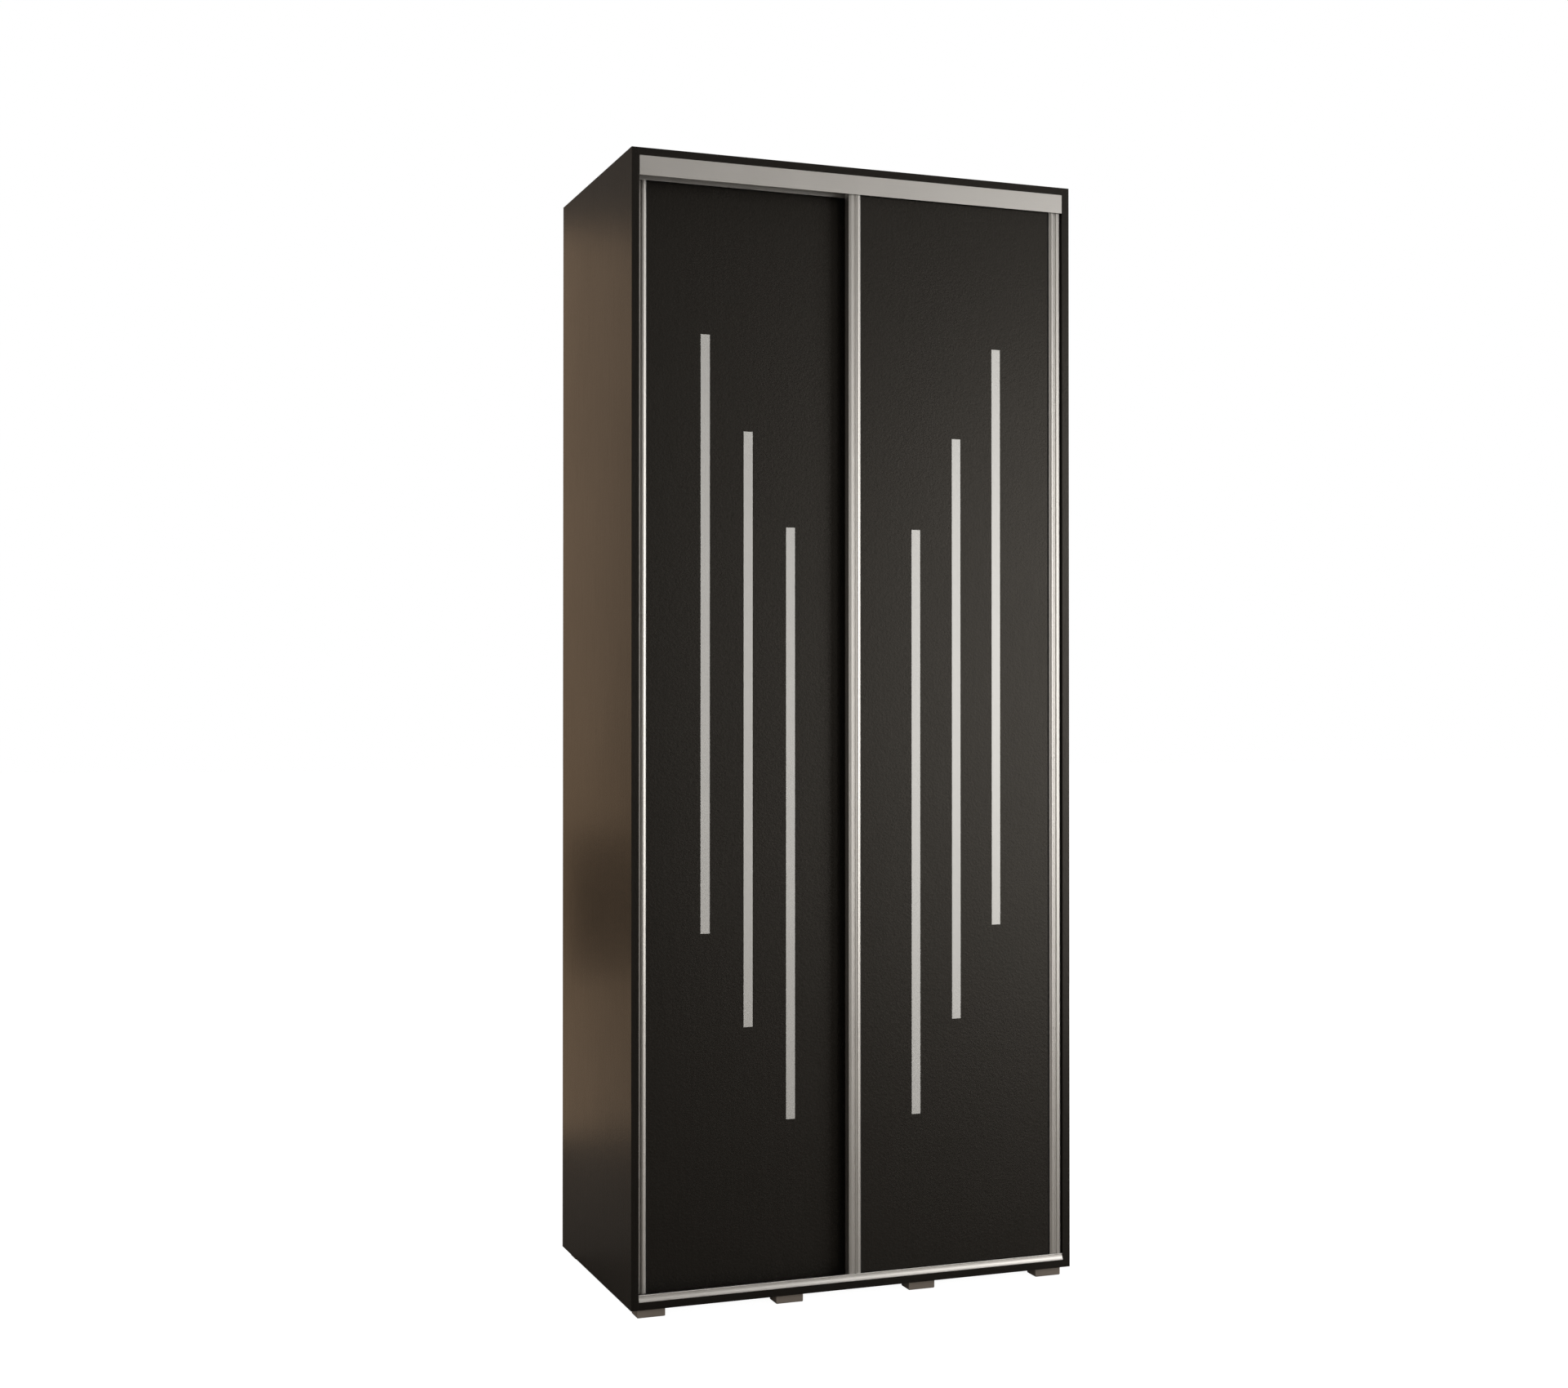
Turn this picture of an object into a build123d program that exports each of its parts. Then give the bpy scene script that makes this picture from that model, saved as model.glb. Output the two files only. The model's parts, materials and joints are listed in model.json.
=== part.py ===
"""Sliding door wardrobe, modelled as the separate pieces it is assembled from.

Millimetres, +Z up. The origin is the middle of the footprint at floor level, the doors face -Y and
+X is to the right of someone facing them. Left door in the rear track, right door in the front track.
"""
from build123d import *
from collections import defaultdict
from math import sqrt
import os

# ---------------------------------------------------------------- driving dimensions
width = 1000.0
depth = 560.0
height = 2390.0
board = 16.0                # laminated board
back_board = 3.0            # hardboard back
foot_height = 20.0
foot_width = 60.0
foot_depth = 40.0
foot_inset_x = 17.0         # outer side of the outermost feet from the side of the carcass
foot_inset_y = 14.0         # front and rear rows from the front and back of the carcass

door_width = 502.0
door_side_gap = 2.0         # closed door to the side board
track_pitch = 40.0          # front door plane to rear door plane
panel_setback = 10.0        # front door's panel face behind the front of the carcass
panel_bottom_rise = 4.0     # panel's lower edge above the bottom board
panel_top_drop = 14.0       # panel's upper edge below the top board

stile_width = 27.2
stile_depth = 22.0
stile_proud = 4.5           # how far the stile stands in front of the panel
stile_web = 12.8            # outer edge of the stile to the edge of the panel it grips
stile_wall = 1.4
stile_lip_width = 9.8       # outer lip, then a shallow groove, then a rounded ridge over the panel's edge
stile_lip_setback = 1.25    # outer lip behind the crest of the ridge
stile_groove_depth = 3.4
stile_ridge_edge = 14.4     # groove side of the ridge, from the outer edge
stile_ridge_crest = 20.4

strip_width = 20.0
strip_length = 1250.0
strip_thickness = 0.8
strip_pitch = 95.0
strip_mid_height = 1201.0   # middle of the middle strip above the floor
strip_step = 199.0          # each strip stands this much higher towards the outer side

track_end_gap = 1.0
track_depth = 80.0
track_wall = 1.4
fascia_height = 40.0
guide_rib_height = 13.0
guide_rib_setback = 29.0    # rib that steers a door's top guides, behind the front of its lane
lower_track_height = 14.2
lower_rib_height = 4.5

wheel_radius = 12.0
wheel_width = 6.0
wheel_clearance = 0.3       # tread above the track, so that the two solids stay apart
wheel_inset = 75.0          # wheel axis from the door's edge
wheel_setback = 7.0         # middle of the wheel behind the panel's rear face
axle_radius = 3.0
running_play = 0.05

partition_setback = 90.0
shelf_setback = 96.0
left_shelf_count = 5
fixed_left_shelf = 3        # counted from the bottom, held by cams; the others lie on pins
shelf_play = 0.8
hat_shelf_height = 2030.0   # top face above the floor
rail_radius = 12.5
rail_wall = 1.2
rail_drop = 70.0            # rail axis below the hat shelf

drill_play = 0.05           # radial room round every hidden fastener

cam_inset = 24.0            # middle of the cam from the end of its board
cam_radius = 7.5
cam_depth = 12.5
cam_recess = 0.3
cam_edge = 45.0             # stud from the front or rear edge of the board
stud_radius = 3.0
stud_in_mate = 11.0
stud_slot_radius = 3.7
dowel_radius = 4.0
dowel_in_mate = 10.0
dowel_in_board = 20.0
dowel_offset = 32.0
pin_radius = 2.5
pin_in_board = 8.0
pin_head_radius = 3.4
pin_head_length = 7.0

nail_radius = 0.8
nail_length = 18.0
nail_head_radius = 2.0
nail_head_height = 0.8
nail_rows = 11              # nails up each edge of a back panel
nail_columns = 4            # nails along its top and bottom
back_rim = 1.0              # back panels inside the outline of the carcass
back_seam = 0.5             # between the two back panels

housing_width = 56.0        # roller housings
housing_depth = 12.8
housing_rise = 8.0          # above the bottom board
housing_height = 44.0
guide_width = 40.0          # top guides
guide_height = 38.0
guide_tongue_width = 32.0
guide_tongue_rise = 8.0     # above the panel's upper edge
guide_play = 0.7

# ---------------------------------------------------------------- places worked out from them
left = -width / 2
right = width / 2
front = -depth / 2
rear = depth / 2 - back_board       # rear edge of the boards
floor = foot_height                 # underside of the carcass
inside_left = left + board
inside_right = right - board
inside_bottom = floor + board
inside_top = height - board
panel_bottom = inside_bottom + panel_bottom_rise
panel_top = inside_top - panel_top_drop
door_travel = inside_right - inside_left - 2 * door_side_gap - door_width
wheel_axis_z = inside_bottom + track_wall + wheel_clearance + wheel_radius
partition_left = -board / 2
partition_right = board / 2

bores = defaultdict(list)           # node name -> tools to be cut out of it
parts = {}                          # node name -> solid, or list of solids for a group


# ---------------------------------------------------------------- shape helpers
def block(x0, x1, y0, y1, z0, z1):
    """Rectangular piece between two opposite corners."""
    return Pos((x0 + x1) / 2, (y0 + y1) / 2, (z0 + z1) / 2) * Box(x1 - x0, y1 - y0, z1 - z0)


def rod(start, end, radius):
    """Round bar between two points."""
    axis = Vector(*end) - Vector(*start)
    foot = (Align.CENTER, Align.CENTER, Align.MIN)
    return Plane(origin=start, z_dir=axis) * Cylinder(radius, axis.length, align=foot)


def cone(start, end, start_radius, end_radius):
    """Tapered bar between two points."""
    axis = Vector(*end) - Vector(*start)
    foot = (Align.CENTER, Align.CENTER, Align.MIN)
    return Plane(origin=start, z_dir=axis) * Cone(start_radius, end_radius, axis.length, align=foot)


def bar(y0, y1, z0, z1):
    """Rectangle of a section that is drawn in the YZ plane."""
    return Pos((y0 + y1) / 2, (z0 + z1) / 2) * Rectangle(y1 - y0, z1 - z0)


def along_x(section, x0, x1):
    """Extrude a section drawn in the YZ plane from x0 to x1."""
    return Pos(x0, 0, 0) * extrude(Plane.YZ * section, x1 - x0, dir=(1, 0, 0))


def add(name, piece):
    """Put a solid into a node; a second one makes the node a group."""
    parts.setdefault(name, []).append(piece)


# ---------------------------------------------------------------- fasteners
def screw_shape(head, direction, length, shank, head_radius, head_height, grow=0.0):
    """Countersunk screw whose flat head lies at a point; grow widens it into its own bore."""
    head, direction = Vector(*head), Vector(*direction)
    neck = head + direction * head_height
    taper = cone(head, neck, head_radius + grow, shank + grow)
    return taper + rod(head, head + direction * (length + grow), shank + grow)


def drive_screw(group, head, direction, length, through, shank=1.75, head_radius=3.5, head_height=2.0):
    """Add a screw to a group and cut its bore in every node it passes through."""
    screw = screw_shape(head, direction, length, shank, head_radius, head_height)
    recess = rod(head, Vector(*head) + Vector(*direction) * head_height / 2, head_radius * 0.35)
    add(group, screw - recess)
    bore = screw_shape(head, direction, length, shank, head_radius, head_height, drill_play)
    for node in through:
        bores[node].append(bore)


def cam_joint(cammed, mate, point, inward, opening, towards_dowel):
    """Cam, stud and dowel between the end of one board and the face of another.

    point: where the stud crosses the contact face. inward: into the cammed board.
    opening: towards the face that the cam is let into. towards_dowel: from the stud to the dowel.
    """
    point, inward, opening = Vector(*point), Vector(*inward), Vector(*opening)
    centre = point + inward * cam_inset
    face = centre + opening * (board / 2)
    seat = face - opening * cam_depth
    tip = point - inward * stud_in_mate
    slot = rod(point, centre + inward * stud_slot_radius, stud_slot_radius)
    add("cam_discs", rod(face - opening * cam_recess, seat, cam_radius) - slot)
    add("cam_studs", rod(tip, centre + inward * stud_radius, stud_radius))
    bores[cammed].append(rod(face, seat, cam_radius + drill_play))
    bores[cammed].append(slot)
    bores[mate].append(rod(tip, point, stud_radius + drill_play))

    peg = point + Vector(*towards_dowel) * dowel_offset
    peg_end = peg - inward * dowel_in_mate
    peg_tip = peg + inward * dowel_in_board
    add("dowels", rod(peg_end, peg_tip, dowel_radius))
    bores[mate].append(rod(peg_end, peg, dowel_radius + drill_play))
    bores[cammed].append(rod(peg, peg_tip, dowel_radius + drill_play))


def shelf_joints(shelf, left_mate, right_mate, x0, x1, z, y0, opening):
    """Cams at both ends of a horizontal board, near its front and its rear edge."""
    for x, mate, inward in ((x0, left_mate, 1), (x1, right_mate, -1)):
        cam_joint(shelf, mate, (x, y0 + cam_edge, z), (inward, 0, 0), opening, (0, 1, 0))
        cam_joint(shelf, mate, (x, rear - cam_edge, z), (inward, 0, 0), opening, (0, -1, 0))


# ---------------------------------------------------------------- carcass
def make_carcass():
    add("side_left", block(left, inside_left, front, rear, floor, height))
    add("side_right", block(inside_right, right, front, rear, floor, height))
    add("top_board", block(inside_left, inside_right, front, rear, inside_top, height))
    add("bottom_board", block(inside_left, inside_right, front, rear, floor, inside_bottom))
    partition_front = front + partition_setback
    add("partition", block(partition_left, partition_right, partition_front, rear, inside_bottom, inside_top))

    mid_top = inside_top + board / 2
    mid_bottom = floor + board / 2
    shelf_joints("top_board", "side_left", "side_right", inside_left, inside_right, mid_top, front, (0, 0, 1))
    shelf_joints("bottom_board", "side_left", "side_right", inside_left, inside_right, mid_bottom, front, (0, 0, -1))
    for z, mate, inward in ((inside_bottom, "bottom_board", 1), (inside_top, "top_board", -1)):
        cam_joint("partition", mate, (0, partition_front + cam_edge, z), (0, 0, inward), (1, 0, 0), (0, 1, 0))
        cam_joint("partition", mate, (0, rear - cam_edge, z), (0, 0, inward), (1, 0, 0), (0, -1, 0))


def make_left_shelves():
    """Evenly spaced shelves between the left side and the partition."""
    clear_height = (inside_top - inside_bottom - left_shelf_count * board) / (left_shelf_count + 1)
    y0 = front + shelf_setback
    for number in range(1, left_shelf_count + 1):
        z0 = inside_bottom + number * clear_height + (number - 1) * board
        name = f"shelf_left_{number}"
        if number == fixed_left_shelf:
            add(name, block(inside_left, partition_left, y0, rear, z0, z0 + board))
            middle = z0 + board / 2
            shelf_joints(name, "side_left", "partition", inside_left, partition_left, middle, y0, (0, 0, -1))
        else:
            add(name, block(inside_left + shelf_play, partition_left - shelf_play, y0, rear - 1, z0, z0 + board))
            for y in (y0 + 40, rear - 50):
                shelf_pin(inside_left, 1, y, z0, "side_left")
                shelf_pin(partition_left, -1, y, z0, "partition")


def shelf_pin(x, inward, y, shelf_underside, node):
    """Steel pin in a side, with a thicker head that the shelf lies on."""
    z = shelf_underside - pin_head_radius
    wall = (x, y, z)
    tip = (x - inward * pin_in_board, y, z)
    add("shelf_pins", rod(tip, wall, pin_radius) + rod(wall, (x + inward * pin_head_length, y, z), pin_head_radius))
    bores[node].append(rod(tip, wall, pin_radius + drill_play))


def make_hat_shelf_and_rail():
    """Shelf over the right half, and the hanging rail below it in its two sockets."""
    y0 = front + shelf_setback
    z0 = hat_shelf_height - board
    add("hat_shelf", block(partition_right, inside_right, y0, rear, z0, hat_shelf_height))
    middle = z0 + board / 2
    shelf_joints("hat_shelf", "partition", "side_right", partition_right, inside_right, middle, y0, (0, 0, -1))

    plate = 3.0
    plate_radius = 25.0
    cup_length = 15.0
    cup_wall = 3.0
    y = (y0 + rear) / 2
    z = z0 - rail_drop
    tube = rod((partition_right + plate, y, z), (inside_right - plate, y, z), rail_radius)
    core = rod((partition_right, y, z), (inside_right, y, z), rail_radius - rail_wall)
    add("hanging_rail", tube - core)
    for x, inward, wall in ((partition_right, 1, "partition"), (inside_right, -1, "side_right")):
        flange = rod((x, y, z), (x + inward * plate, y, z), plate_radius)
        cup = rod((x, y, z), (x + inward * cup_length, y, z), rail_radius + cup_wall)
        seat = rod((x + inward * plate, y, z), (x + inward * cup_length, y, z), rail_radius + drill_play)
        add("rail_sockets", flange + cup - seat)
        for turn in (90, 210, 330):
            offset = Vector(0, 20.3, 0).rotate(Axis.X, turn)
            head = Vector(x + inward * plate, y, z) + offset
            drive_screw("rail_socket_screws", head, (-inward, 0, 0), 15, ("rail_sockets", wall), head_radius=3.3)


# ---------------------------------------------------------------- back
def nail(x, z, panel, frame_node):
    """Round nail driven flush through a back panel into the edge of a board."""
    y = depth / 2

    def shape(grow):
        head = rod((x, y, z), (x, y - nail_head_height, z), nail_head_radius + grow)
        return head + rod((x, y, z), (x, y - nail_length, z), nail_radius + grow)

    add("back_nails", shape(0))
    bores[panel].append(shape(drill_play))
    bores[frame_node].append(shape(drill_play))


def make_back():
    """Two hardboard panels that meet on the rear edge of the partition."""
    inner_x = board / 4
    outer_x = width / 2 - board / 2
    for name, side_node, side in (("back_left", "side_left", -1), ("back_right", "side_right", 1)):
        near, far = side * back_seam / 2, side * (width / 2 - back_rim)
        add(name, block(min(near, far), max(near, far), rear, depth / 2, floor + back_rim, height - back_rim))
        low, high = floor + board / 2, height - board / 2
        for row in range(nail_rows):
            z = low + 40 + (high - low - 80) * row / (nail_rows - 1)
            nail(side * outer_x, z, name, side_node)
            nail(side * inner_x, z, name, "partition")
        for column in range(nail_columns):
            x = side * (inner_x + (outer_x - inner_x) * (column + 0.5) / nail_columns)
            nail(x, low, name, "bottom_board")
            nail(x, high, name, "top_board")


# ---------------------------------------------------------------- feet
def make_feet():
    """Two rows of low block feet screwed to the bottom board from below."""
    columns = 4
    first = left + foot_inset_x + foot_width / 2
    step = -2 * first / (columns - 1)
    edge = 1.5
    rows = (
        ("front", front + foot_inset_y + foot_depth / 2),
        ("rear", depth / 2 - foot_inset_y - foot_depth / 2),
    )
    for row, y in rows:
        for column in range(columns):
            x = first + column * step
            name = f"foot_front_{column + 1}" if row == "front" else "feet_rear"
            foot = Pos(x, y, foot_height / 2) * Box(foot_width, foot_depth, foot_height)
            foot = chamfer(foot.faces().sort_by(Axis.Z)[0].edges(), edge)
            for dx in (-16, 16):
                well = rod((x + dx, y, 0), (x + dx, y, 6), 4.5)
                foot = foot - well
                drive_screw("foot_screws", (x + dx, y, 6), (0, 0, 1), 26, (name, "bottom_board"),
                            shank=2.0, head_radius=3.8)
            add(name, foot)


# ---------------------------------------------------------------- tracks
def make_upper_track():
    """Aluminium channel for two doors, with the plain fascia as its front leg."""
    z1 = inside_top
    z0 = z1 - fascia_height
    section = bar(front, front + track_depth, z1 - track_wall, z1)
    for y in (front, front + track_pitch - track_wall, front + track_depth - track_wall):
        section += bar(y, y + track_wall, z0, z1)
    for lane in (0, 1):
        y = front + lane * track_pitch + guide_rib_setback
        section += bar(y, y + track_wall, z1 - guide_rib_height, z1)
    x0, x1 = inside_left + track_end_gap, inside_right - track_end_gap
    add("upper_track", along_x(section, x0, x1))
    for lane in (0, 1):
        track_screws(front + lane * track_pitch + 20, z1 - track_wall, 1, "upper_track", "top_board")


def track_screws(y, z, upward, track, mate):
    """Row of screws that fixes a track to its board."""
    count = 4
    reach = inside_right - 60
    for number in range(count):
        x = -reach + 2 * reach * number / (count - 1)
        drive_screw("track_screws", (x, y, z), (0, 0, upward), 14, (track, mate), head_radius=3.1, head_height=1.3)


def make_lower_track():
    """Aluminium sill with a beaded front lip and a pair of ribs that steer each door's wheels."""
    z0 = inside_bottom
    bead_top = z0 + lower_track_height
    lip_front = front + 2.8             # top of the lip, above its hollow flare
    lip_back = lip_front + track_wall
    bead_back = lip_back + 0.6
    outline = [
        Line((front, z0), (front, z0 + 0.8)),
        ThreePointArc((front, z0 + 0.8), (front + 1.7, z0 + 4.2), (lip_front, z0 + 10.6)),
        Line((lip_front, z0 + 10.6), (lip_front + 0.6, z0 + 11.2)),
        Line((lip_front + 0.6, z0 + 11.2), (lip_front, z0 + 11.8)),
        ThreePointArc((lip_front, z0 + 11.8), ((lip_front + bead_back) / 2, bead_top), (bead_back, z0 + 11.8)),
        Line((bead_back, z0 + 11.8), (lip_back, z0 + 10.6)),
        Line((lip_back, z0 + 10.6), (lip_back, z0 + 3.4)),
        ThreePointArc((lip_back, z0 + 3.4), (lip_back + 0.6, z0 + 2.0), (lip_back + 2.0, z0 + track_wall)),
        Line((lip_back + 2.0, z0 + track_wall), (front + track_depth, z0 + track_wall)),
        Line((front + track_depth, z0 + track_wall), (front + track_depth, z0)),
        Line((front + track_depth, z0), (front, z0)),
    ]
    section = make_face(outline)
    for lane in (0, 1):
        middle = wheel_plane(lane)
        for side in (-1, 1):
            rib = middle + side * (wheel_width / 2 + 1.2 + 0.6)
            section += bar(rib - 0.6, rib + 0.6, z0, z0 + lower_rib_height)
    end_rib = front + track_depth - track_wall
    section += bar(end_rib, end_rib + track_wall, z0, z0 + lower_rib_height)
    x0, x1 = inside_left + track_end_gap, inside_right - track_end_gap
    add("lower_track", along_x(section, x0, x1))
    for lane in (0, 1):
        track_screws(front + lane * track_pitch + 18, z0 + track_wall, -1, "lower_track", "bottom_board")


def panel_face(lane):
    """Front face of the door panel that runs in a lane; lane 0 is the front track."""
    return front + panel_setback + lane * track_pitch


def wheel_plane(lane):
    """Middle plane of the wheels that run in a lane."""
    return panel_face(lane) + board + wheel_setback


def make_track_stops():
    """Block at each end of each wheel groove, met by the wheel at the end of the door's travel."""
    stop_length = 12.0
    stop_height = 5.0
    stop_play = 0.7
    drop = wheel_axis_z - (inside_bottom + track_wall) - stop_height
    reach = sqrt(wheel_radius ** 2 - drop ** 2) + stop_play
    z0 = inside_bottom + track_wall
    for lane in (0, 1):
        y = wheel_plane(lane)
        half = wheel_width / 2 + 1.0
        closed = inside_left + door_side_gap + wheel_inset
        opened = inside_right - door_side_gap - wheel_inset
        for wheel_x, side in ((closed, -1), (opened, 1)):
            near = wheel_x + side * reach
            far = near + side * stop_length
            stop = block(min(near, far), max(near, far), y - half, y + half, z0, z0 + stop_height)
            add("track_stops", chamfer(stop.faces().sort_by(Axis.Z)[-1].edges(), 1.0))


# ---------------------------------------------------------------- doors
def stile_face():
    """Section of a handle profile: outer edge at x = 0, front at y = 0, panel gripped on its far side."""
    seat = stile_proud + board
    lip, lip_y = stile_lip_width, stile_lip_setback
    ridge, crest, groove_y = stile_ridge_edge, stile_ridge_crest, stile_groove_depth
    rim = stile_width - 0.4
    outline = [
        Line((0, stile_depth), (0, 3.7)),
        ThreePointArc((0, 3.7), (0.7, 2.1), (2.2, 1.5)),
        ThreePointArc((2.2, 1.5), (5.8, 1.15), (lip, lip_y)),
        Line((lip, lip_y), (lip + 0.9, 2.6)),
        Line((lip + 0.9, 2.6), (ridge - 2.0, groove_y)),
        Line((ridge - 2.0, groove_y), (ridge, groove_y)),
        ThreePointArc((ridge, groove_y), (ridge + 2.2, 1.05), (crest, 0)),
        ThreePointArc((crest, 0), (crest + 3.4, 0.5), (rim, 1.9)),
        Line((rim, 1.9), (stile_width, 2.6)),
        Line((stile_width, 2.6), (stile_width, stile_proud)),
        Line((stile_width, stile_proud), (stile_web, stile_proud)),
        Line((stile_web, stile_proud), (stile_web, seat)),
        Line((stile_web, seat), (stile_width - 2, seat)),
        Line((stile_width - 2, seat), (stile_width - 2, stile_depth)),
        Line((stile_width - 2, stile_depth), (0, stile_depth)),
    ]
    hollow_front, hollow_back = 7.0, seat
    hollow_left, hollow_right = stile_wall, stile_web - stile_wall
    middle = Pos((hollow_left + hollow_right) / 2, (hollow_front + hollow_back) / 2)
    hollow = middle * Rectangle(hollow_right - hollow_left, hollow_back - hollow_front)
    return make_face(outline) - hollow


def stile(edge_x, y, inward):
    """Handle profile on one edge of a door; inward is +1 on the left edge and -1 on the right."""
    face = stile_face()
    if inward < 0:
        face = mirror(face, about=Plane.YZ)
    return extrude(Pos(edge_x, y, panel_bottom) * face, panel_top - panel_bottom, dir=(0, 0, 1))


def roller(prefix, number, x, lane):
    """Roller housing screwed to the back of a panel, its axle and its wheel."""
    y0 = panel_face(lane) + board
    y1 = y0 + housing_depth
    z0 = inside_bottom + housing_rise
    plane = wheel_plane(lane)
    name = f"{prefix}_roller_housing_{number}"
    body = block(x - housing_width / 2, x + housing_width / 2, y0, y1, z0, z0 + housing_height)
    corners = body.edges().filter_by(Axis.Y).group_by(Axis.Z)[-1]
    body = chamfer(corners, 8)
    cavity_half = wheel_radius + 1.8
    cavity_y = wheel_width / 2 + 0.6
    cavity_top = wheel_axis_z + wheel_radius + 1.8
    body = body - block(x - cavity_half, x + cavity_half, plane - cavity_y, plane + cavity_y,
                        z0 - 1, cavity_top)
    rim = 1.0
    body = body - rod((x, y0 + rim, wheel_axis_z), (x, y1, wheel_axis_z), axle_radius + drill_play)
    add(name, body)
    add(f"{prefix}_axles", rod((x, y0 + rim, wheel_axis_z), (x, y1, wheel_axis_z), axle_radius))

    tread = rod((x, plane - wheel_width / 2, wheel_axis_z), (x, plane + wheel_width / 2, wheel_axis_z),
                wheel_radius)
    wheel = chamfer(tread.edges(), 0.6)
    wheel = wheel - rod((x, y0, wheel_axis_z), (x, y1, wheel_axis_z), axle_radius + running_play)
    for side in (-1, 1):
        rim_face = plane + side * wheel_width / 2
        dish = rod((x, rim_face, wheel_axis_z), (x, rim_face - side * 1.2, wheel_axis_z), wheel_radius - 2.6)
        hub = rod((x, rim_face, wheel_axis_z), (x, rim_face - side * 1.2, wheel_axis_z), axle_radius + 1.8)
        wheel = wheel - (dish - hub)
    add(f"{prefix}_wheel_{number}", wheel)

    for dx in (-21, 21):
        for dz in (14, 33):
            drive_screw(f"{prefix}_screws", (x + dx, y1, z0 + dz), (0, -1, 0), 25,
                        (name, f"{prefix}_panel"))


def top_guides(prefix, x0, lane):
    """Pair of plastic guides on the back of a panel, with a tongue each that runs in the upper track."""
    y0 = panel_face(lane) + board
    groove_front = front + lane * track_pitch + guide_rib_setback + track_wall
    y1 = front + (lane + 1) * track_pitch - track_wall - guide_play
    z1 = panel_top - 6
    name = f"{prefix}_top_guides"
    for x in (x0 + wheel_inset, x0 + door_width - wheel_inset):
        base = block(x - guide_width / 2, x + guide_width / 2, y0, y1, z1 - guide_height, z1)
        base = chamfer(base.edges().filter_by(Axis.Y).group_by(Axis.Z)[0], 6)
        tongue = block(x - guide_tongue_width / 2, x + guide_tongue_width / 2, groove_front + guide_play, y1,
                       z1, panel_top + guide_tongue_rise)
        tongue = chamfer(tongue.faces().sort_by(Axis.Z)[-1].edges(), 0.8)
        add(name, base + tongue)
        for dx in (-12, 12):
            drive_screw(f"{prefix}_screws", (x + dx, y1, z1 - guide_height / 2), (0, -1, 0), y1 - y0 + 12,
                        (name, f"{prefix}_panel"))


def make_door(prefix, x0, lane, outward):
    """One sliding door; outward is -1 for the left door and +1 for the right one."""
    x1 = x0 + door_width
    y0 = panel_face(lane)
    stile_y = y0 - stile_proud
    edges = {-1: x0, 1: x1}
    add(f"{prefix}_panel", block(x0 + stile_web, x1 - stile_web, y0, y0 + board, panel_bottom, panel_top))
    add(f"{prefix}_outer_stile", stile(edges[outward], stile_y, -outward))
    add(f"{prefix}_inner_stile", stile(edges[-outward], stile_y, outward))

    middle = (x0 + x1) / 2
    for number in (1, 2, 3):
        x = middle + outward * (2 - number) * strip_pitch
        z = strip_mid_height + (2 - number) * strip_step
        strip = block(x - strip_width / 2, x + strip_width / 2, y0 - strip_thickness, y0,
                      z - strip_length / 2, z + strip_length / 2)
        add(f"{prefix}_strip_{number}", strip)

    seal_width = 6.0
    seal = door_side_gap - 0.3
    seal_y = stile_y + stile_depth / 2 + 2
    seal_x = (edges[outward], edges[outward] + outward * seal)
    add(f"{prefix}_side_seal", block(min(seal_x), max(seal_x), seal_y - seal_width / 2, seal_y + seal_width / 2,
                                     panel_bottom + 6, panel_top - 6))
    for number, x in ((1, x0 + wheel_inset), (2, x1 - wheel_inset)):
        roller(prefix, number, x, lane)
    top_guides(prefix, x0, lane)


def make_dust_seal():
    """Pile seal on the back of the front door's inner stile, which brushes the rear door."""
    x = inside_right - door_side_gap - door_width + 19
    y0 = panel_face(0) - stile_proud + stile_depth
    y1 = panel_face(1) - stile_proud - 0.6
    z0 = inside_bottom + 10
    z1 = inside_top - fascia_height - 4
    base = block(x - 3.4, x + 3.4, y0, y0 + 1.0, z0, z1)
    pile = block(x - 2.2, x + 2.2, y0 + 1.0, y1, z0, z1)
    add("dust_seal", base + pile)


# ---------------------------------------------------------------- assembly
make_carcass()
make_left_shelves()
make_hat_shelf_and_rail()
make_back()
make_feet()
make_upper_track()
make_lower_track()
make_track_stops()
make_door("left_door", inside_left + door_side_gap, 1, -1)
make_door("right_door", inside_right - door_side_gap - door_width, 0, 1)
make_dust_seal()

os.makedirs("parts", exist_ok=True)
for name, pieces in parts.items():
    if name in bores:
        pieces = [piece - bores[name] for piece in pieces]
    node = pieces[0] if len(pieces) == 1 else Compound(children=pieces)
    export_step(node, f"parts/{name}.step")
print(len(parts), "nodes, door travel", door_travel, "mm")
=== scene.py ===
"""Looks of the sliding door wardrobe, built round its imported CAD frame. Metres, +Z up, doors face -Y."""
import json
import math

import bmesh
import bpy
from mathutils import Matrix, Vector


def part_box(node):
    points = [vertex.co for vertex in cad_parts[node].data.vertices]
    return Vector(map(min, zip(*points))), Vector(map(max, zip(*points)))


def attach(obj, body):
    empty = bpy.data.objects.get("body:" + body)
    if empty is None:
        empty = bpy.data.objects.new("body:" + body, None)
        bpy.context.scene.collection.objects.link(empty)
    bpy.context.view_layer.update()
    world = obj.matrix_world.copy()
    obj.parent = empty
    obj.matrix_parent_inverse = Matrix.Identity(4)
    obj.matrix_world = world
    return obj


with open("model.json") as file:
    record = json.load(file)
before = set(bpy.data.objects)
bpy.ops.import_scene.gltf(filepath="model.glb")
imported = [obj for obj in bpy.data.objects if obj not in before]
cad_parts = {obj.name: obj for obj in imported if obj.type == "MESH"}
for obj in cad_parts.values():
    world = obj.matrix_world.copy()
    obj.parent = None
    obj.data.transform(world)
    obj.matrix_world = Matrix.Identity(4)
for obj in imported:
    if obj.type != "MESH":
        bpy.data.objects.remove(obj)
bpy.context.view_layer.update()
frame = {"nodes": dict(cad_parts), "record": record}
nodes = frame["nodes"]

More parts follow.
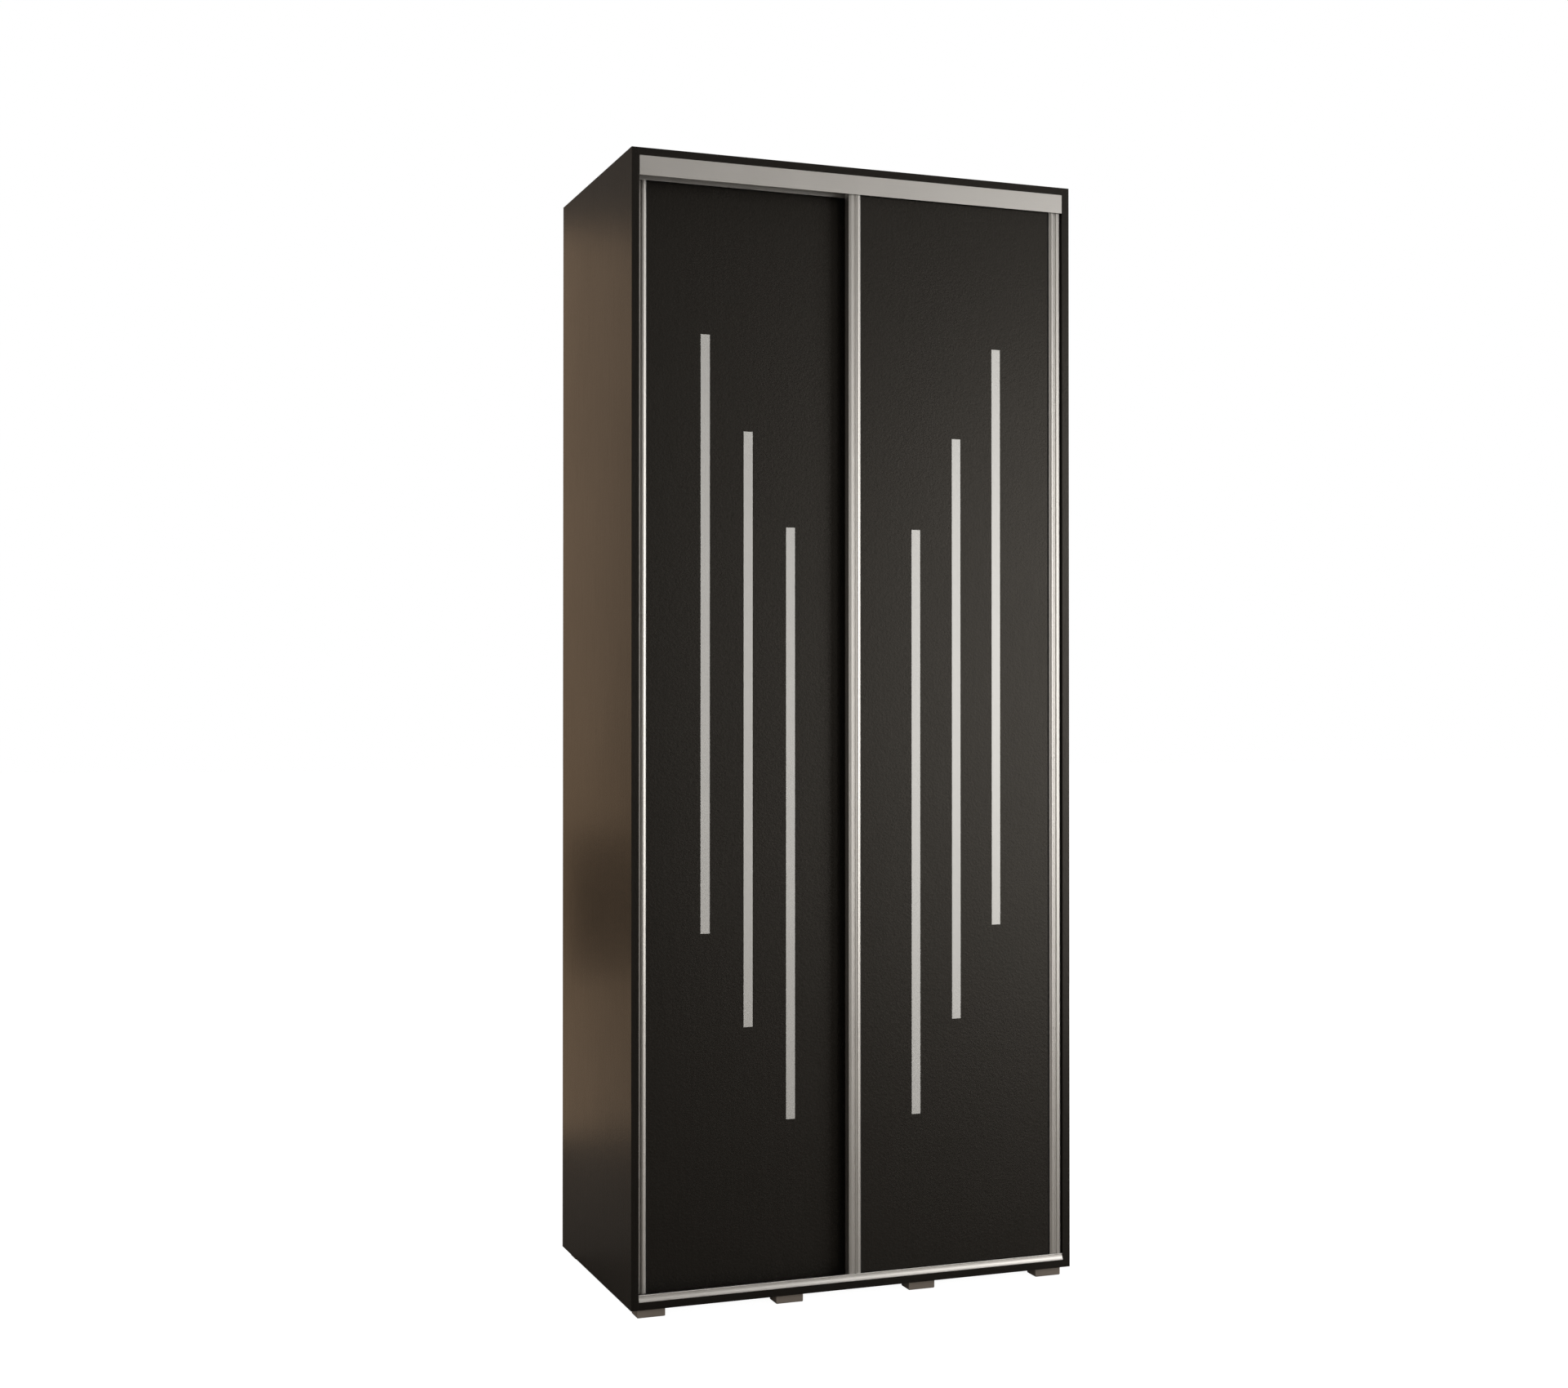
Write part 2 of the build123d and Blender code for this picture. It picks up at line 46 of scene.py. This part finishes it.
X, Y, Z = 0, 1, 2
DOORS = ("left_door", "right_door")


# ---------------------------------------------------------------- node helpers
class Graph:
    """Small wrapper that adds nodes to a shader tree and links them.

    Inputs are given by name, or by number as i0, i1 and so on where several have the same name.
    """

    def __init__(self, tree):
        self.tree = tree

    def add(self, kind, props=None, **inputs):
        node = self.tree.nodes.new("ShaderNode" + kind)
        for key, value in (props or {}).items():
            setattr(node, key, value)
        for key, value in inputs.items():
            numbered = key[0] == "i" and key[1:].isdigit()
            self.put(node.inputs[int(key[1:]) if numbered else key], value)
        return node

    def put(self, socket, value):
        """Link another node's socket, or set a plain value."""
        if isinstance(value, bpy.types.NodeSocket):
            self.tree.links.new(value, socket)
        else:
            socket.default_value = value

    def noise(self, vector, scale, detail=2.0, roughness=0.5):
        return self.add("TexNoise", Vector=vector, Scale=scale, Detail=detail, Roughness=roughness).outputs[0]

    def scaled(self, vector, factors):
        """Coordinates multiplied by a factor along each axis."""
        return self.add("Mapping", {"vector_type": "TEXTURE"}, Vector=vector,
                        Scale=[1 / f for f in factors]).outputs[0]

    def remap(self, value, low, high, source=(0.0, 1.0)):
        """Value taken from the source range to low and high, and held between them."""
        return self.add("MapRange", i0=value, i1=source[0], i2=source[1], i3=low, i4=high).outputs[0]

    def math(self, operation, a, b):
        return self.add("Math", {"operation": operation}, i0=a, i1=b).outputs[0]

    def tint(self, colour, factor):
        """Colour times a varying factor."""
        grey = self.add("CombineColor", i0=factor, i1=factor, i2=factor).outputs[0]
        colour = (*colour, 1) if isinstance(colour, tuple) else colour
        multiply = {"data_type": "RGBA", "blend_type": "MULTIPLY"}
        return self.add("Mix", multiply, i0=1.0, i6=colour, i7=grey).outputs[2]

    def blend(self, factor, a, b):
        """Colour a where the factor is 0 and b where it is 1."""
        a = (*a, 1) if isinstance(a, tuple) else a
        b = (*b, 1) if isinstance(b, tuple) else b
        return self.add("Mix", {"data_type": "RGBA"}, i0=factor, i6=a, i7=b).outputs[2]

    def bump(self, height, distance, strength=1.0, normal=None):
        """Normal bent by a height, over another bent normal if there is one."""
        node = self.add("Bump", Strength=strength, Distance=distance, Height=height)
        if normal is not None:
            self.put(node.inputs["Normal"], normal)
        return node.outputs[0]


def material(name, **constants):
    """New Principled material; constants go straight onto the shader's own sockets."""
    mat = bpy.data.materials.new(name)
    mat.use_nodes = True
    shader = mat.node_tree.nodes["Principled BSDF"]
    for key, value in constants.items():
        shader.inputs[key.replace("_", " ")].default_value = value
    graph = Graph(mat.node_tree)
    place = graph.add("TexCoord").outputs["Object"]
    return mat, graph, shader, place


# ---------------------------------------------------------------- materials
WARM_SHEEN = (1.0, 0.93, 0.84, 1.0)


def laminate(name, colour, roughness, along, specular=0.5, inside=None):
    """Black laminate: faint pores along the board, pearl grain, orange peel and a slow change of tone.

    inside is an axis and a distance: nearer to the middle than that, the board has a lighter colour, painted
    light in place of the light that falls less inside the carcass.
    """
    mat, g, shader, place = material(name, Specular_IOR_Level=specular, Specular_Tint=WARM_SHEEN)
    stretch = [170.0, 170.0, 170.0]
    stretch[along] = 7.0
    pores = g.noise(g.scaled(place, stretch), 1.0, 5.0, 0.62)
    pearl = g.noise(place, 1500.0, 2.0, 0.6)
    slow = g.noise(place, 2.3, 3.0, 0.55)
    peel = g.noise(place, 60.0, 2.0, 0.5)
    pebble = g.noise(place, 210.0, 3.0, 0.65)
    tone = g.math("MULTIPLY", g.remap(pores, 0.72, 1.28), g.remap(slow, 0.88, 1.12))
    tone = g.math("MULTIPLY", tone, g.remap(pearl, 0.7, 1.3))
    shade = colour
    # painted light: the inner faces take the lighter board colour as a painted fill
    if inside is not None:
        axis, limit = inside
        across = g.math("ABSOLUTE", g.add("SeparateXYZ", Vector=place).outputs[axis], 0.0)
        shade = g.blend(g.math("LESS_THAN", across, limit), colour, PAINTED_LIGHT_BOARD)
    g.put(shader.inputs["Base Color"], g.tint(shade, tone))
    rough = g.remap(slow, roughness - 0.03, roughness + 0.03)
    g.put(shader.inputs["Roughness"], g.math("ADD", rough, g.remap(pores, -0.05, 0.05)))
    fine = g.bump(pearl, 0.00003, 1.0, g.bump(pebble, 0.00035, 0.9))
    grain = g.bump(pores, 0.00005, 0.7, fine)
    g.put(shader.inputs["Normal"], g.bump(peel, 0.00012, 0.5, grain))
    return mat


def aluminium(name, colour, roughness, along, streak=0.06):
    """Anodised aluminium with the fine drawn lines of an extruded or rolled strip."""
    mat, g, shader, place = material(name, Metallic=1.0)
    stretch = [2600.0, 2600.0, 2600.0]
    stretch[along] = 5.0
    lines = g.noise(g.scaled(place, stretch), 1.0, 3.0, 0.7)
    cloud = g.noise(place, 9.0, 3.0, 0.6)
    satin = g.noise(place, 2100.0, 1.0, 0.5)
    tone = g.math("MULTIPLY", g.remap(lines, 0.93, 1.07), g.remap(cloud, 0.97, 1.03))
    g.put(shader.inputs["Base Color"], g.tint(colour, tone))
    rough = g.remap(lines, roughness - streak, roughness + streak)
    g.put(shader.inputs["Roughness"], g.math("ADD", rough, g.remap(cloud, -0.02, 0.02)))
    g.put(shader.inputs["Normal"], g.bump(satin, 0.000006, 0.8, g.bump(lines, 0.000008, 0.8)))
    return mat


def plastic(name, colour, roughness, grain=0.00004, scale=700.0):
    """Moulded plastic with spark-eroded grain."""
    mat, g, shader, place = material(name)
    spark = g.noise(place, scale, 3.0, 0.6)
    cloud = g.noise(place, 25.0, 3.0, 0.6)
    g.put(shader.inputs["Base Color"], g.tint(colour, g.remap(cloud, 0.93, 1.07)))
    rough = g.remap(cloud, roughness - 0.05, roughness + 0.05)
    g.put(shader.inputs["Roughness"], g.math("ADD", rough, g.remap(spark, -0.05, 0.05)))
    g.put(shader.inputs["Normal"], g.bump(spark, grain, 0.8))
    return mat


def steel(name, colour, roughness, scale=260.0):
    """Plated steel with faint rubbing marks and cloudy plating."""
    mat, g, shader, place = material(name, Metallic=1.0)
    cloud = g.noise(place, scale, 4.0, 0.65)
    rub = g.noise(g.scaled(place, (1800.0, 60.0, 1800.0)), 1.0, 2.0, 0.6)
    g.put(shader.inputs["Base Color"], g.tint(colour, g.remap(cloud, 0.88, 1.1)))
    rough = g.remap(cloud, roughness - 0.06, roughness + 0.08)
    g.put(shader.inputs["Roughness"], g.math("ADD", rough, g.remap(rub, -0.03, 0.03)))
    g.put(shader.inputs["Normal"], g.bump(rub, 0.000008, 0.6))
    return mat


def hardboard():
    """Painted hardboard: smooth paint over matted fibres."""
    mat, g, shader, place = material("painted_hardboard", Specular_IOR_Level=0.35)
    fibre = g.noise(g.scaled(place, (520.0, 520.0, 190.0)), 1.0, 6.0, 0.75)
    mottle = g.noise(place, 14.0, 4.0, 0.6)
    tone = g.math("MULTIPLY", g.remap(fibre, 0.6, 1.4), g.remap(mottle, 0.85, 1.15))
    g.put(shader.inputs["Base Color"], g.tint((0.030, 0.025, 0.021), tone))
    g.put(shader.inputs["Roughness"], g.remap(fibre, 0.48, 0.74))
    g.put(shader.inputs["Normal"], g.bump(fibre, 0.00012, 0.8, g.bump(mottle, 0.0004, 0.3)))
    return mat


def pile():
    """Black woven pile."""
    sheen = {"Sheen_Weight": 0.4, "Sheen_Roughness": 0.5, "Specular_IOR_Level": 0.2}
    mat, g, shader, place = material("seal_pile", **sheen)
    hair = g.noise(g.scaled(place, (900.0, 900.0, 3200.0)), 1.0, 2.0, 0.7)
    g.put(shader.inputs["Base Color"], g.tint((0.014, 0.0135, 0.013), g.remap(hair, 0.5, 1.6)))
    g.put(shader.inputs["Roughness"], g.remap(hair, 0.75, 0.95))
    g.put(shader.inputs["Normal"], g.bump(hair, 0.0004, 1.0))
    return mat


def beech():
    """Fluted beech dowel."""
    mat, g, shader, place = material("beech", Specular_IOR_Level=0.3)
    rings = g.noise(g.scaled(place, (60.0, 900.0, 900.0)), 1.0, 4.0, 0.6)
    g.put(shader.inputs["Base Color"], g.blend(rings, (0.62, 0.42, 0.25), (0.40, 0.24, 0.12)))
    g.put(shader.inputs["Roughness"], g.remap(rings, 0.55, 0.75))
    g.put(shader.inputs["Normal"], g.bump(rings, 0.0001, 0.7))
    return mat


BOARD = (0.0036, 0.0031, 0.0026)
DOOR_BOARD = (0.0026, 0.0023, 0.0020)
PAINTED_LIGHT_BOARD = (0.021, 0.019, 0.017)         # painted light: a lighter colour for faces inside the carcass, where less light falls
EDGE_MARGIN = 0.0005
inner_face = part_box("side_right")[0].x + EDGE_MARGIN
front_edge = -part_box("bottom_board")[0].y - EDGE_MARGIN
board_upright = laminate("board_upright", BOARD, 0.33, Z, 0.42, inside=(X, inner_face))
board_floor = laminate("board_floor", BOARD, 0.33, X, 0.42, inside=(Y, front_edge))
# the partition and shelves take the lighter colour all over, painted light for the inside of the carcass
painted_light_upright = laminate("painted_light_upright", PAINTED_LIGHT_BOARD, 0.36, Z, 0.45)
painted_light_level = laminate("painted_light_level", PAINTED_LIGHT_BOARD, 0.36, X, 0.45)
board_level = laminate("board_level", BOARD, 0.33, X, 0.42)
door_board = laminate("door_board", DOOR_BOARD, 0.38, Z, 0.5)
track_metal = aluminium("track_metal", (0.757, 0.742, 0.72), 0.40, X)
stile_metal = aluminium("stile_metal", (0.69, 0.675, 0.65), 0.38, Z)
strip_metal = aluminium("strip_metal", (0.74, 0.74, 0.73), 0.50, Z, 0.04)
foot_plastic = plastic("foot_plastic", (0.285, 0.245, 0.21), 0.45)
wheel_plastic = plastic("wheel_plastic", (0.78, 0.77, 0.73), 0.30, 0.00001)
black_plastic = plastic("black_plastic", (0.016, 0.016, 0.017), 0.42)
grey_plastic = plastic("grey_plastic", (0.20, 0.20, 0.205), 0.48)
rubber = plastic("black_rubber", (0.0035, 0.0033, 0.0032), 0.62, 0.00002, 1400.0)
zinc = steel("zinc_steel", (0.60, 0.60, 0.575), 0.34)
chrome = steel("chromed_steel", (0.78, 0.78, 0.79), 0.13, 40.0)
back_board = hardboard()
seal = pile()
dowel_wood = beech()

CARCASS_BOARDS = {
    "side_left": board_upright, "side_right": board_upright, "top_board": board_level,
    "bottom_board": board_floor, "partition": painted_light_upright,
}
BY_SLOT = {
    "door_board": door_board, "hardboard": back_board, "foot_plastic": foot_plastic,
    "bright_strip": strip_metal, "wheel_plastic": wheel_plastic, "black_plastic": black_plastic,
    "grey_plastic": grey_plastic, "seal_pile": seal, "beech": dowel_wood, "chromed_steel": chrome,
    "zinc_steel": zinc,
}


def cad_material(name, slot):
    """Material of a CAD node; black boards that aren't named above are shelves."""
    if slot == "black_board":
        # shelves get the lighter board colour, painted as fill light
        return CARCASS_BOARDS.get(name, painted_light_level)
    if slot == "satin_aluminium":
        return stile_metal if name.endswith("_stile") else track_metal
    return BY_SLOT[slot]


for part in frame["record"]["subparts"]:
    obj = nodes[part["node"]]
    obj.data.materials.clear()
    obj.data.materials.append(cad_material(part["node"], part["material_slot"]))


# ---------------------------------------------------------------- rounded edges on what shows
def round_edges(name, radius, segments=2):
    """Small rounding on the sharp edges of a CAD node, as a modifier."""
    obj = nodes[name]
    weld = obj.modifiers.new("weld", "WELD")
    weld.merge_threshold = 0.00001
    bevel = obj.modifiers.new("round", "BEVEL")
    bevel.width = radius
    bevel.segments = segments
    bevel.limit_method = "ANGLE"
    bevel.angle_limit = math.radians(40)
    bevel.harden_normals = True
    bevel.use_clamp_overlap = True


BOARD_EDGE_RADIUS = 0.0004
FOOT_EDGE_RADIUS = 0.0008
for name in ("side_left", "side_right", "top_board", "bottom_board"):
    round_edges(name, BOARD_EDGE_RADIUS)
for name in nodes:
    if name.startswith("foot_front") or name == "feet_rear":
        round_edges(name, FOOT_EDGE_RADIUS, 3)


# ---------------------------------------------------------------- gaskets beside the handle profiles
def extrusion(name, outline, z0, z1, mat, body):
    """Straight piece with a section drawn in plan, from z0 to z1."""
    mesh = bpy.data.meshes.new(name)
    bm = bmesh.new()
    low = [bm.verts.new((x, y, z0)) for x, y in outline]
    high = [bm.verts.new((x, y, z1)) for x, y in outline]
    count = len(outline)
    for k in range(count):
        bm.faces.new((low[k], low[(k + 1) % count], high[(k + 1) % count], high[k]))
    bm.faces.new(low[::-1])
    bm.faces.new(high)
    bmesh.ops.recalc_face_normals(bm, faces=bm.faces)
    bm.to_mesh(mesh)
    bm.free()
    for face in mesh.polygons:
        face.use_smooth = False
    mesh.materials.append(mat)
    obj = bpy.data.objects.new(name, mesh)
    bpy.context.scene.collection.objects.link(obj)
    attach(obj, body)
    return obj


GASKET_WIDTH = 0.0027
GASKET_PROUD = 0.0006
GASKET_STEPS = 6


def gasket_section(edge, inward, face_y):
    """Flattened bead that lies on the panel's face, from the profile's edge inwards."""
    section = []
    for k in range(GASKET_STEPS + 1):
        turn = math.pi * k / GASKET_STEPS
        rise = GASKET_PROUD * math.sin(turn) ** 0.6 if 0 < k < GASKET_STEPS else 0.0
        section.append((edge + inward * GASKET_WIDTH * (1 - math.cos(turn)) / 2, face_y - rise))
    return section


for door in DOORS:
    panel_low, panel_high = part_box(f"{door}_panel")
    middle = (panel_low.x + panel_high.x) / 2
    for which in ("outer", "inner"):
        low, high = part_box(f"{door}_{which}_stile")
        inward = 1 if high.x < middle else -1
        edge = high.x if inward > 0 else low.x
        section = gasket_section(edge, inward, panel_low.y)
        extrusion(f"{door}_gasket_{which}", section, panel_low.z, panel_high.z, rubber, door)


# ---------------------------------------------------------------- stage, lights and camera
def studio_room():
    """White where the camera sees it; for all else a soft room, bright at the right, dim at the back left."""
    world = bpy.data.worlds.new("studio")
    bpy.context.scene.world = world
    world.use_nodes = True
    world.node_tree.nodes.clear()
    g = Graph(world.node_tree)
    direction = g.add("SeparateXYZ", Vector=g.add("TexCoord").outputs["Generated"])
    x, y, z = direction.outputs
    front_right = g.remap(x, 0.0, 1.0, (0.1, 0.8))
    back_right = g.remap(x, 0.0, 1.0, (-0.7, 0.8))
    behind = g.remap(y, 0.0, 1.0, (-0.1, 0.5))
    raised = g.remap(z, 0.0, 1.0, (-0.25, 0.35))
    overhead = g.remap(z, 0.0, 0.45, (0.05, 0.40))
    front = g.blend(front_right, (0.20, 0.186, 0.170), (0.58, 0.567, 0.545))
    back = g.blend(back_right, (0.16, 0.115, 0.082), (0.50, 0.48, 0.45))
    walls = g.blend(raised, (0.10, 0.085, 0.07), g.blend(behind, front, back))
    room = g.blend(overhead, walls, (0.10, 0.095, 0.09))
    seen = g.add("LightPath").outputs["Is Camera Ray"]
    lit = g.add("Background", Color=room, Strength=1.0).outputs[0]
    white = g.add("Background", Color=(1, 1, 1, 1), Strength=1.0).outputs[0]
    mixed = g.add("MixShader", i0=seen, i1=lit, i2=white).outputs[0]
    g.add("OutputWorld", Surface=mixed)


def floor():
    """Pale floor that the camera sees as near white and that throws little light back."""
    size = 40.0
    corners = [(-size, -size, 0), (size, -size, 0), (size, size, 0), (-size, size, 0)]
    mesh = bpy.data.meshes.new("floor")
    mesh.from_pydata(corners, [], [(0, 1, 2, 3)])
    obj = bpy.data.objects.new("floor", mesh)
    bpy.context.scene.collection.objects.link(obj)
    mat = bpy.data.materials.new("pale_floor")
    mat.use_nodes = True
    mat.node_tree.nodes.clear()
    g = Graph(mat.node_tree)
    seen = g.add("LightPath").outputs["Is Camera Ray"]
    plain = g.add("BsdfDiffuse", Color=(0.30, 0.28, 0.26, 1)).outputs[0]
    pale = g.add("BsdfDiffuse", Color=(0.35, 0.35, 0.35, 1)).outputs[0]
    glow = g.add("Emission", Color=(1, 1, 1, 1), Strength=0.97).outputs[0]
    shown = g.add("AddShader", i0=pale, i1=glow).outputs[0]
    mixed = g.add("MixShader", i0=seen, i1=plain, i2=shown).outputs[0]
    g.add("OutputMaterial", Surface=mixed)
    mesh.materials.append(mat)


def dark_card():
    """Unseen card that takes a soft, dark spot out of the warm light along the left side."""
    x, y, z = -0.70, 0.62, 0.765
    half_width, half_height = 0.068, 0.20
    corners = 24
    turns = [2 * math.pi * k / corners for k in range(corners)]
    rim = [(x + half_width * math.cos(turn), y, z + half_height * math.sin(turn)) for turn in turns]
    mesh = bpy.data.meshes.new("dark_card")
    mesh.from_pydata(rim, [], [tuple(range(corners))])
    obj = bpy.data.objects.new("dark_card", mesh)
    bpy.context.scene.collection.objects.link(obj)
    mesh.materials.append(rubber)
    obj.visible_camera = False
    obj.visible_shadow = False


def area_light(name, position, target, width, height, power, colour):
    """Softbox at a position, turned to a target, that the camera doesn't see."""
    data = bpy.data.lights.new(name, "AREA")
    data.shape = "RECTANGLE"
    data.size = width
    data.size_y = height
    data.energy = power
    data.color = colour
    obj = bpy.data.objects.new(name, data)
    obj.location = position
    obj.rotation_euler = (Vector(target) - Vector(position)).to_track_quat("-Z", "Y").to_euler()
    obj.visible_camera = False
    bpy.context.scene.collection.objects.link(obj)


CAMERA_PLACE = (-1.6975, -4.3903, 1.2370)
CAMERA_TILT = 0.4866        # degrees above level
CAMERA_TURN = 20.399        # degrees to the right of straight ahead
CAMERA_LENS = 48.215


def camera():
    data = bpy.data.cameras.new("camera")
    data.lens = CAMERA_LENS
    data.sensor_width = 36.0
    data.sensor_fit = "HORIZONTAL"
    data.clip_end = 200.0
    obj = bpy.data.objects.new("camera", data)
    obj.location = CAMERA_PLACE
    obj.rotation_euler = (math.radians(90 + CAMERA_TILT), 0, -math.radians(CAMERA_TURN))
    bpy.context.scene.collection.objects.link(obj)
    bpy.context.scene.camera = obj


SOFT_WHITE = (1.0, 0.975, 0.935)
CLEAR_WHITE = (1.0, 0.98, 0.95)
WINDOW_WHITE = (1.0, 0.98, 0.945)
WALL_WHITE = (1.0, 0.97, 0.93)
AMBER = (1.0, 0.655, 0.38)

studio_room()
floor()
dark_card()
# the window lights the doors from the right, and the amber light glances along the left side
area_light("window", (3.9, -4.3, 1.38), (0.2, -0.28, 1.30), 3.5, 3.0, 92, WINDOW_WHITE)
area_light("back_left", (-0.80, 1.25, 1.32), (-0.5, 0.1, 1.32), 0.58, 2.52, 2.25, AMBER)
# the others give the doors, sides, back and top their shape from other angles
area_light("front_left", (-3.6, -4.4, 1.45), (-0.2, -0.28, 1.35), 3.6, 3.0, 46, SOFT_WHITE)
area_light("back_right", (3.4, 3.6, 1.6), (0.2, 0.28, 1.3), 3.0, 2.6, 60, SOFT_WHITE)
area_light("overhead", (0.3, -0.6, 4.6), (0.0, 0.0, 2.4), 3.0, 2.4, 45, CLEAR_WHITE)
area_light("left_wall", (-4.6, 0.5, 1.75), (-0.5, 0.0, 1.25), 1.9, 2.2, 22, WALL_WHITE)
area_light("right_wall", (4.6, -0.5, 1.75), (0.5, 0.0, 1.25), 1.9, 2.2, 25, CLEAR_WHITE)
camera()
bpy.context.scene.view_settings.view_transform = "Standard"
